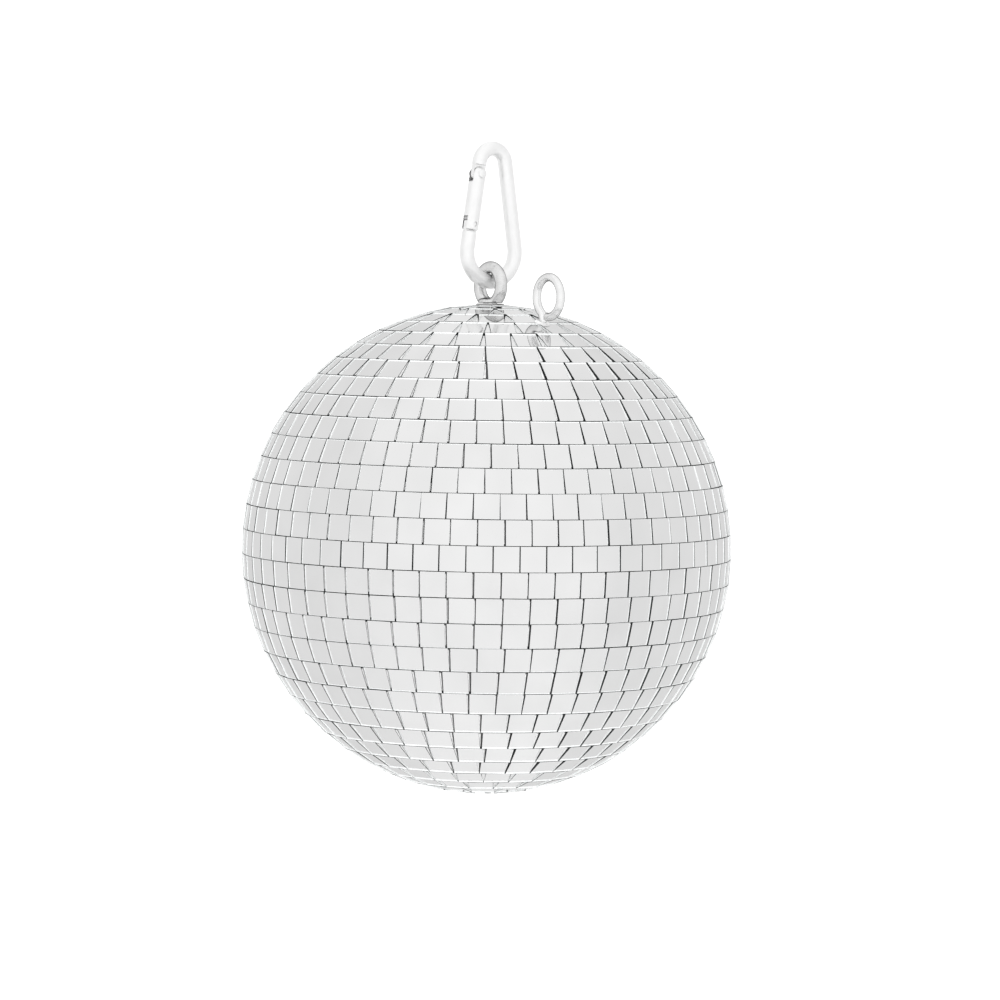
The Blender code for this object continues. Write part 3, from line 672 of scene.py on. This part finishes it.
def make_row(row, chance):
    """A row of mirrors in strips, each strip and each mirror a little off its place."""
    latitude = row_latitude(row)
    count = MIRRORS_IN_ROW[row]
    step = math.tau / count
    phase = step * ROW_TURNS[row]
    mesh = bmesh.new()
    strip_left = 0
    depth = silver_depth(latitude)
    filler = filler_outline(row, latitude)
    glue = glue_outline(row, latitude)
    narrow = min(half_width_at(row, latitude, side * mirror_height(row) / 2) for side in (-1, 1))
    least_slack, most_slack = SLACK_ALONG
    slack = min(max(narrow - MIRROR_WIDTH / 2, least_slack), most_slack)
    for index in range(count):
        if strip_left == 0:
            strip_left = chance.randint(*STRIP_MIRRORS)
            strip_rise = chance.uniform(*STRIP_RISE) * MM
            strip_spin = math.radians(chance.uniform(*STRIP_TURN))
            strip_tilt = math.radians(chance.uniform(*STRIP_TURN))
        strip_left -= 1
        longitude = phase + (index + 0.5) * step
        nudge = (chance.uniform(-1, 1) * slack, strip_rise + chance.uniform(*MIRROR_RISE) * MM,
                 chance.uniform(*MIRROR_STAND) * MM)
        spin = strip_spin + math.radians(chance.uniform(*MIRROR_TURN))
        tilt = (strip_tilt + math.radians(chance.gauss(0, TILT_NORTH)),
                math.radians(chance.gauss(0, TILT_EAST)))
        jitter = chance.uniform(*MIRROR_WIDER) * MM
        outline = mirror_outline(row, latitude, jitter)
        place = mirror_place(latitude, longitude, spin, tilt, nudge)
        add_mirror(mesh, outline, place, depth, polar_bevel(latitude))
        joint = longitude + step / 2
        if filler:
            add_mirror(mesh, filler, mirror_place(latitude, joint), depth)
        if glue:
            place = mirror_place(latitude, joint, nudge=(nudge[0] / 2, strip_rise, 0))
            add_block(mesh, glue, place, -GLUE_DEPTH, -MIRROR_THICKNESS, GLUE_SLOT)
    add_backing(mesh, row)
    name = f"mirrors_{row + 1:02d}"
    item = to_object(name, facing_out(mesh), MIRROR_MATERIALS)
    node = f"mirror_row_{row + 1:02d}"
    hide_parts(node)
    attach(item, "ball")
    return item


def safety_turn():
    return Matrix.Translation(BALL_CENTRE) @ Matrix.Rotation(SAFETY_POLAR_ANGLE, 4, 'X')


def make_mirrors():
    chance = random.Random(SEED)
    for row in range(ROW_COUNT):
        item = make_row(row, chance)
        past_edge = SAFETY_POLAR_ANGLE - (math.pi / 2 - row_edges(row)[0])
        if -SAFETY_HOLE_REACH < past_edge < ROW_PITCH + SAFETY_HOLE_REACH:
            hole = cylinder(SAFETY_WIRE + SAFETY_HOLE_GAP, SAFETY_SHANK_END,
                            SURFACE_RADIUS + SAFETY_NECK, 40)
            for face in hole.faces:
                face.material_index = SIDE_SLOT
            combine(item, move(hole, safety_turn()), 'DIFFERENCE', MIRROR_MATERIALS)

    mesh = bmesh.new()
    turn = math.pi / BOTTOM_MIRROR_CORNERS
    outline = arc((0, 0), BOTTOM_MIRROR_RADIUS, turn, math.tau + turn, BOTTOM_MIRROR_CORNERS)[:-1]
    add_mirror(mesh, outline, mirror_place(NEAR_POLE - math.pi / 2, 0), silver_depth(-math.pi / 2))
    item = to_object("mirror_bottom", mesh, MIRROR_MATERIALS)
    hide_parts("bottom_mirror")
    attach(item, "ball")


# ---------------------------------------------------------------------------- core

def make_core():
    inside = CORE_RADIUS - CORE_WALL
    hole = EYE_SHANK_RADIUS + SEAT_GAP
    profile = [(hole, BOSS_TOP), (BOSS_RADIUS - BOSS_CHAMFER, BOSS_TOP)]
    profile += [(BOSS_RADIUS, BOSS_TOP - BOSS_CHAMFER)]
    at_boss = math.acos(BOSS_RADIUS / CORE_RADIUS)
    profile += arc((0, 0), CORE_RADIUS, at_boss, CORE_JOINT / CORE_RADIUS, 28)
    profile += arc((0, 0), inside, CORE_JOINT / inside, math.acos(hole / inside), 28)
    mesh = move(turned(profile, WHOLE_TURN, closed=True), Matrix.Translation(BALL_CENTRE))
    core = to_object("core_top", mesh, [PLASTIC])
    shank_hole = cylinder(SAFETY_WIRE + SEAT_GAP, SAFETY_SHANK_END,
                          SURFACE_RADIUS + SAFETY_NECK, 32)
    combine(core, move(shank_hole, safety_turn()), 'DIFFERENCE', [PLASTIC])
    sharpen(core.data, 35)
    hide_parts("core_upper_half")
    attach(core, "ball")


# ---------------------------------------------------------------------------- eyes

def make_hanging_eye():
    """Ring, collar and shank run together into one forging with soft corners."""
    seat = BOSS_TOP + SEAT_GAP
    collar_top = seat + EYE_COLLAR_HEIGHT
    inwards, down = EYE_COLLAR_SLOPE
    collar = [(0, seat), (EYE_COLLAR_RADIUS - EYE_COLLAR_EDGE, seat)]
    collar += [(EYE_COLLAR_RADIUS, seat + EYE_COLLAR_EDGE), (EYE_COLLAR_RADIUS, collar_top - down)]
    collar += [(EYE_COLLAR_RADIUS - inwards, collar_top), (0, collar_top + EYE_COLLAR_CROWN)]
    eye = to_object("hanging_eye_forging", turned(collar, 64), [EYE_METAL])

    last = EYE_RING_SIDES - 1
    section = arc((EYE_RING, 0), EYE_WIRE, 0, math.tau * last / EYE_RING_SIDES, last)
    ring = turned(section, WHOLE_TURN, closed=True)
    centre = Matrix.Translation((0, 0, EYE_HEIGHT - EYE_WIRE - EYE_RING))
    move(ring, centre @ Matrix.Rotation(math.pi / 2, 4, 'Y'))
    width, height = 0.03, 0.01
    below = box((width, width, height), (0, 0, seat - height / 2 + EYE_RING_SINK))
    ring_object = to_object("ring_stock", ring, [EYE_METAL])
    combine(ring_object, below, 'DIFFERENCE', [EYE_METAL])
    combine_objects(eye, ring_object, 'UNION')

    remesh = eye.modifiers.new("one_skin", 'REMESH')
    remesh.mode = 'VOXEL'
    remesh.voxel_size = SKIN_CELL
    remesh.adaptivity = 0.0
    smooth = eye.modifiers.new("fillets", 'SMOOTH')
    smooth.factor = 0.5
    smooth.iterations = 9
    fewer = eye.modifiers.new("fewer", 'DECIMATE')
    fewer.ratio = 0.35
    apply_modifiers(eye)

    steps = int((seat - THREAD_STOP - EYE_SHANK_END) / (THREAD_PITCH / 2))
    shank = [(0, EYE_SHANK_END), (EYE_SHANK_RADIUS - EYE_SHANK_TIP, EYE_SHANK_END)]
    for step in range(1, steps):
        depth = 0.0 if step % 2 else THREAD_DEPTH
        shank.append((EYE_SHANK_RADIUS - depth, EYE_SHANK_END + step * THREAD_PITCH / 2))
    neck_radius = EYE_SHANK_RADIUS - EYE_SHANK_NECK
    neck_below, neck_above = EYE_NECK
    shank += [(neck_radius, seat - neck_below), (neck_radius, seat + neck_above)]
    shank += [(0, seat + neck_above)]
    combine(eye, turned(shank, 48), 'UNION', [EYE_METAL])
    move_data(eye, Matrix.Translation(BALL_CENTRE))
    sharpen(eye.data, 40)
    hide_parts("hanging_eye")
    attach(eye, "ball")


def safety_eye_path():
    """The bent wire: up the shank, aside onto the ring, and round it nearly to the shank."""
    ring_centre = SURFACE_RADIUS + SAFETY_NECK + SAFETY_WIRE + SAFETY_RING
    reach = SAFETY_RING + SAFETY_BEND
    bend_height = ring_centre - math.sqrt(reach ** 2 - SAFETY_BEND ** 2)
    bend_end = math.atan2(ring_centre - bend_height, -SAFETY_BEND)
    shank_steps = 12
    points = []
    for step in range(shank_steps):
        points.append((0, SAFETY_SHANK_END + (bend_height - SAFETY_SHANK_END) * step / shank_steps))
    points += arc((SAFETY_BEND, bend_height), SAFETY_BEND, math.pi, bend_end, 12)
    joined = math.atan2(bend_height - ring_centre, SAFETY_BEND)
    last = math.tau - math.pi / 2 - SAFETY_RING_END
    points += arc((0, ring_centre), SAFETY_RING, joined, last, 90)[1:]
    return [Vector((0, x, z)) for x, z in points]


def make_safety_eye():
    wire = round_bar(safety_eye_path(), SAFETY_WIRE, 32, Vector((1, 0, 0)), end_rounding=0.35 * MM)
    eye = to_object("safety_eye_wire", move(wire, safety_turn()), [SAFETY_METAL], 40)
    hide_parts("safety_eye")
    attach(eye, "ball")

    inside, outside = SAFETY_WIRE + SEALANT_GAP, SAFETY_WIRE + SEALANT_WIDTH
    lip_height, top = SEALANT_TOP
    profile = [(inside, SEALANT_LOW), (outside, SEALANT_LOW)]
    profile += arc((outside, SEALANT_SHOULDER), SEALANT_ROUND, 0, math.pi / 2, 6)
    profile += [(SAFETY_WIRE + SEALANT_LIP, lip_height), (inside, top)]
    bead = turned(profile, 40, closed=True)
    sealant = to_object("safety_eye_sealant", move(bead, safety_turn()), [SEALANT], 60)
    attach(sealant, "ball")


# ---------------------------------------------------------------------------- snap hook

def leg_point(distance, side):
    """A point on the centre of a leg, at a distance below the high bow: side -1 has the gate."""
    x = side * (HOOK_HIGH_BOW * math.cos(LEG_LEAN) + distance * math.sin(LEG_LEAN))
    z = HIGH_BOW_CENTRE + HOOK_HIGH_BOW * math.sin(LEG_LEAN) - distance * math.cos(LEG_LEAN)
    return x, z


def nose_distance():
    high = leg_point(0, -1)[1]
    return (high - (HOOK_BOTTOM + NOSE_HEIGHT)) / math.cos(LEG_LEAN)


def straight(start, end, steps):
    """Points from the start on, without the end."""
    return [(start[0] + (end[0] - start[0]) * step / steps,
             start[1] + (end[1] - start[1]) * step / steps) for step in range(steps)]


def hook_path():
    low_bow = arc((0, LOW_BOW_CENTRE), HOOK_LOW_BOW, math.pi - LEG_LEAN, math.tau + LEG_LEAN, 72)
    high_bow = arc((0, HIGH_BOW_CENTRE), HOOK_HIGH_BOW, LEG_LEAN, math.pi - LEG_LEAN, 48)
    points = straight(leg_point(nose_distance(), -1), low_bow[0], 6) + low_bow
    points += straight(low_bow[-1], high_bow[0], 16)[1:] + high_bow
    points += [leg_point(HINGE_BELOW_BOW - HINGE_CLEARANCE, -1)]
    return [Vector((x, 0, z)) for x, z in points]


def gate_length():
    return nose_distance() - HINGE_BELOW_BOW - GATE_END_GAP


def hinge_frame():
    x, z = leg_point(HINGE_BELOW_BOW, -1)
    return Matrix.Translation((x, 0, z)) @ Matrix.Rotation(LEG_LEAN, 4, 'Y')


def hinge_tongue_outline():
    top = HINGE_CLEARANCE + TONGUE_ROOT
    round_end = arc((0, 0), HINGE_TONGUE_RADIUS, math.pi, math.tau, 24)
    return [(-HINGE_TONGUE_RADIUS, top)] + round_end + [(HINGE_TONGUE_RADIUS, top)]


def nose_tongue_outline():
    face = -(nose_distance() - HINGE_BELOW_BOW)
    top = face + NOSE_TONGUE_HEIGHT
    pin = LATCH_PIN_HEIGHT - gate_length()
    half, lip = NOSE_TONGUE_HALF, NOSE_LIP_HALF
    outline = [(-half, face - TONGUE_ROOT), (half, face - TONGUE_ROOT), (half, pin - NOTCH_RADIUS)]
    outline += arc((0, pin), NOTCH_RADIUS, math.tau * 3 / 4, math.tau / 4, 16)
    outline += [(lip, pin + NOTCH_RADIUS), (lip, top), (-lip, top), (-half, top - NOSE_CHAMFER)]
    return outline


def pin_bore(radius, height=0.0):
    return across(cylinder(radius, -BORE_HALF_LENGTH, BORE_HALF_LENGTH, 32), height)


def make_hook():
    wire = round_bar(hook_path(), HOOK_WIRE, 40, Vector((0, 1, 0)), end_rounding=0.4 * MM)
    body = to_object("hook_wire", wire, [HOOK_METAL])
    for outline in (hinge_tongue_outline(), nose_tongue_outline()):
        tongue = move(plate_outline(outline, TONGUE_HALF_THICKNESS), hinge_frame())
        combine(body, tongue, 'UNION', [HOOK_METAL])
    combine(body, move(pin_bore(HINGE_PIN_RADIUS + PIN_HOLE_CLEARANCE), hinge_frame()),
            'DIFFERENCE', [HOOK_METAL])
    sharpen(body.data, 35)
    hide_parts("hook_body")
    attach(body, "hook")

    head_radius, head_height = HINGE_PIN_HEAD
    shaft = GATE_RADIUS + PIN_HOLE_CLEARANCE
    profile = [(0, -shaft - head_height)]
    for angle in (20, 40, 60, 80, 90):
        turn = math.radians(angle)
        profile.append((head_radius * math.sin(turn), -shaft - head_height * math.cos(turn)))
    profile += [(HINGE_PIN_RADIUS, -shaft)]
    profile += [(radius, -height) for radius, height in reversed(profile)]
    pin = across(turned(profile, 40))
    rivet = to_object("hinge_rivet", move(pin, hinge_frame()), [HOOK_METAL], 50)
    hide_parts("gate_hinge_pin")
    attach(rivet, "hook")


def make_gate():
    length = gate_length()
    flat = GATE_RADIUS - GATE_EDGE
    profile = [(0, -length), (flat, -length)]
    profile += arc((flat, GATE_EDGE - length), GATE_EDGE, -math.pi / 2, 0, 4)[1:]
    profile += arc((0, 0), GATE_RADIUS, 0, math.pi / 2, 16)
    gate = to_object("gate_bar", turned(profile, 48), [HOOK_METAL])
    wide = 4 * GATE_RADIUS
    beyond = 2 * GATE_RADIUS
    bore_end = HINGE_FORK_DEPTH + SPRING_LENGTH
    pin_height = LATCH_PIN_HEIGHT - length
    cutters = [box((wide, 2 * FORK_HALF_SLOT, HINGE_FORK_DEPTH + beyond),
                   (0, 0, (beyond - HINGE_FORK_DEPTH) / 2)),
               box((wide, 2 * FORK_HALF_SLOT, NOSE_FORK_DEPTH + beyond),
                   (0, 0, (NOSE_FORK_DEPTH - beyond) / 2 - length)),
               cylinder(SPRING_BORE, -bore_end, 0, 32),
               pin_bore(HINGE_PIN_RADIUS + PIN_HOLE_CLEARANCE),
               pin_bore(LATCH_PIN_RADIUS + LATCH_PIN_CLEARANCE, pin_height)]
    for cutter in cutters:
        combine(gate, cutter, 'DIFFERENCE', [HOOK_METAL])
    move_data(gate, hinge_frame())
    sharpen(gate.data, 35)
    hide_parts("hook_gate")
    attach(gate, "gate")

    end = LATCH_PIN_HALF_LENGTH
    pin_profile = [(0, -end), (LATCH_PIN_RADIUS - LATCH_PIN_CHAMFER, -end)]
    pin_profile += [(LATCH_PIN_RADIUS, LATCH_PIN_CHAMFER - end)]
    pin_profile += [(radius, -height) for radius, height in reversed(pin_profile)]
    pin = across(turned(pin_profile, 32), pin_height)
    latch = to_object("latch_pin", move(pin, hinge_frame()), [HOOK_METAL], 40)
    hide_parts("gate_latch_pin")
    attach(latch, "gate")

    top = -HINGE_TONGUE_RADIUS - PIN_HOLE_CLEARANCE - SPRING_WIRE
    bottom = PIN_HOLE_CLEARANCE + SPRING_WIRE - bore_end
    steps = SPRING_TURNS * STEPS_IN_TURN
    points = []
    for step in range(steps + 1):
        turn = math.tau * SPRING_TURNS * step / steps
        height = bottom + (top - bottom) * step / steps
        x, y = SPRING_RADIUS * math.cos(turn), SPRING_RADIUS * math.sin(turn)
        points.append(Vector((x, y, height)))
    coil = round_bar(points, SPRING_WIRE, 12, Vector((0, 0, 1)))
    spring = to_object("spring_coil", move(coil, hinge_frame()), [SPRING_METAL], 40)
    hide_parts("gate_spring")
    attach(spring, "gate")


# ---------------------------------------------------------------------------- CAD nodes that stay

def dress_inner_nodes():
    finishes = {"core_lower_half": PLASTIC, "reinforcing_plate": INNER_METAL}
    for eye in ("hanging_eye", "safety_eye"):
        for part in ("washer", "lock_washer", "nut"):
            finishes[f"{eye}_{part}"] = EYE_METAL
    for node, material in finishes.items():
        data = bpy.data.objects[node].data
        data.materials.clear()
        data.materials.append(material)


# ---------------------------------------------------------------------------- stage

def math_node(tree, operation, first, second):
    node = add_node(tree, "ShaderNodeMath", operation=operation)
    for socket, value in zip(node.inputs, (first, second)):
        if isinstance(value, float):
            socket.default_value = value
        else:
            tree.links.new(value, socket)
    return node.outputs[0]


def dot_product(tree, vector, axis):
    node = add_node(tree, "ShaderNodeVectorMath", operation='DOT_PRODUCT')
    tree.links.new(vector, node.inputs[0])
    node.inputs[1].default_value = axis
    return node.outputs["Value"]


def studio_level(tree, direction, gain, back_stops):
    """Brightness of the white studio in a direction from the ball: dimmer walls at both sides. The
    world shines with it as light, and the floor takes it into its colour as painted light.
    """
    across_view = math_node(tree, 'ABSOLUTE', dot_product(tree, direction, STUDIO_SIDE), 0.0)
    along_view = dot_product(tree, direction, STUDIO_FRONT)
    spread = math_node(tree, 'DIVIDE', across_view, math_node(tree, 'ADD', along_view, OVER_ONE))
    half_spread = math_node(tree, 'MULTIPLY', spread, 0.5)
    stops = [(position, gain * value) for position, value in SIDE_LEVELS]
    walls = ramp(tree, half_spread, stops)
    front = ramp(tree, along_view, list(zip(FRONT_STOPS, (0.0, gain * FRONT_PANEL))))
    away = math_node(tree, 'MULTIPLY', along_view, -1.0)
    back = ramp(tree, away, list(zip(back_stops, (0.0, 1.0))))
    add = add_node(tree, "ShaderNodeMix", data_type='RGBA', blend_type='ADD')
    add.inputs["Factor"].default_value = 1.0
    tree.links.new(walls, add.inputs["A"])
    tree.links.new(front, add.inputs["B"])
    mix = add_node(tree, "ShaderNodeMix", data_type='RGBA')
    tree.links.new(back, mix.inputs["Factor"])
    tree.links.new(add.outputs["Result"], mix.inputs["A"])
    level = gain * BACK_LEVEL
    mix.inputs["B"].default_value = (level, level, level, 1.0)
    return mix.outputs["Result"]


def painted_light_floor_material():
    material, tree, shader = new_material("pale_floor_painted_light")
    place = add_node(tree, "ShaderNodeTexCoord")
    from_ball = add_node(tree, "ShaderNodeVectorMath", operation='SUBTRACT')
    from_ball.inputs[1].default_value = (0, 0, BALL_CENTRE.z - FLOOR_HEIGHT)
    unit = add_node(tree, "ShaderNodeVectorMath", operation='NORMALIZE')
    tree.links.new(place.outputs["Object"], from_ball.inputs[0])
    tree.links.new(from_ball.outputs["Vector"], unit.inputs[0])
    # painted light: the floor's colour is the studio's brightness as seen from the ball, lighter
    # behind it and ahead, dimmer to both sides
    tone = studio_level(tree, unit.outputs["Vector"], FLOOR_PAINTED_LIGHT, FLOOR_PAINTED_BACKDROP_STOPS)
    tree.links.new(tone, shader.inputs["Base Color"])
    shader.inputs["Roughness"].default_value = 1.0
    shader.inputs["Specular IOR Level"].default_value = 0.0
    return material


def make_stage():
    mesh = bmesh.new()
    bmesh.ops.create_circle(mesh, cap_ends=True, segments=WHOLE_TURN, radius=FLOOR_RADIUS)
    floor = to_object("floor", mesh, [painted_light_floor_material()])
    floor.location = (0, 0, FLOOR_HEIGHT)


def add_sun(name, turn, elevation, strength):
    """A soft lamp, seen by matt surfaces only, so that the mirrors show the plain studio."""
    data = bpy.data.lights.new(name, 'SUN')
    data.energy = strength
    data.angle = SUN_WIDTH
    light = bpy.data.objects.new(name, data)
    bpy.context.scene.collection.objects.link(light)
    light.rotation_euler = (math.pi / 2 - math.radians(elevation), 0,
                            math.radians(turn) - VIEW_TURN)
    light.visible_glossy = False


def add_low_lamp():
    """A soft disc of light low in front, which whitens the glass edges that face down."""
    lamp = bpy.data.lights.new("low_lamp", 'AREA')
    lamp.shape = 'DISK'
    lamp.size = LOW_LAMP_SIZE
    lamp.energy = LOW_LAMP_POWER
    place = BALL_CENTRE + Vector(STUDIO_FRONT) * LOW_LAMP_AWAY - Vector((0, 0, LOW_LAMP_DROP))
    item = bpy.data.objects.new("low_lamp", lamp)
    item.location = place
    item.rotation_euler = (BALL_CENTRE - place).to_track_quat('-Z', 'Y').to_euler()
    item.visible_camera = False
    item.visible_glossy = False
    bpy.context.collection.objects.link(item)


def make_studio():
    world = bpy.data.worlds.new("studio")
    bpy.context.scene.world = world
    world.use_nodes = True
    tree = world.node_tree
    place = add_node(tree, "ShaderNodeTexCoord")
    level = studio_level(tree, place.outputs["Generated"], WORLD_GAIN, WORLD_BACK_STOPS)
    tree.links.new(level, tree.nodes["Background"].inputs["Color"])
    tree.nodes["Background"].inputs["Strength"].default_value = 1.0 / WORLD_GAIN
    for name, settings in SUNS.items():
        add_sun(name, *settings)
    add_low_lamp()


def make_camera():
    towards = Vector(STUDIO_FRONT)
    place = BALL_CENTRE + towards * VIEW_DISTANCE
    level_right = Vector(STUDIO_SIDE)
    level_up = towards.cross(level_right)
    right = math.cos(VIEW_ROLL) * level_right + math.sin(VIEW_ROLL) * level_up
    up = math.cos(VIEW_ROLL) * level_up - math.sin(VIEW_ROLL) * level_right
    aim = BALL_CENTRE + right * AIM_RIGHT + up * AIM_UP
    back = (place - aim).normalized()
    right = up.cross(back).normalized()
    up = back.cross(right)
    data = bpy.data.cameras.new("camera")
    data.lens = VIEW_LENS
    data.sensor_width = VIEW_SENSOR
    data.clip_end = 50
    camera = bpy.data.objects.new("camera", data)
    bpy.context.scene.collection.objects.link(camera)
    axes = Matrix((right, up, back)).transposed().to_4x4()
    camera.matrix_world = Matrix.Translation(place) @ axes
    bpy.context.scene.camera = camera


def main():
    make_camera()
    make_mirrors()
    make_core()
    make_hanging_eye()
    make_safety_eye()
    make_hook()
    make_gate()
    dress_inner_nodes()
    make_stage()
    make_studio()
    bpy.context.scene.view_settings.view_transform = 'Standard'


main()
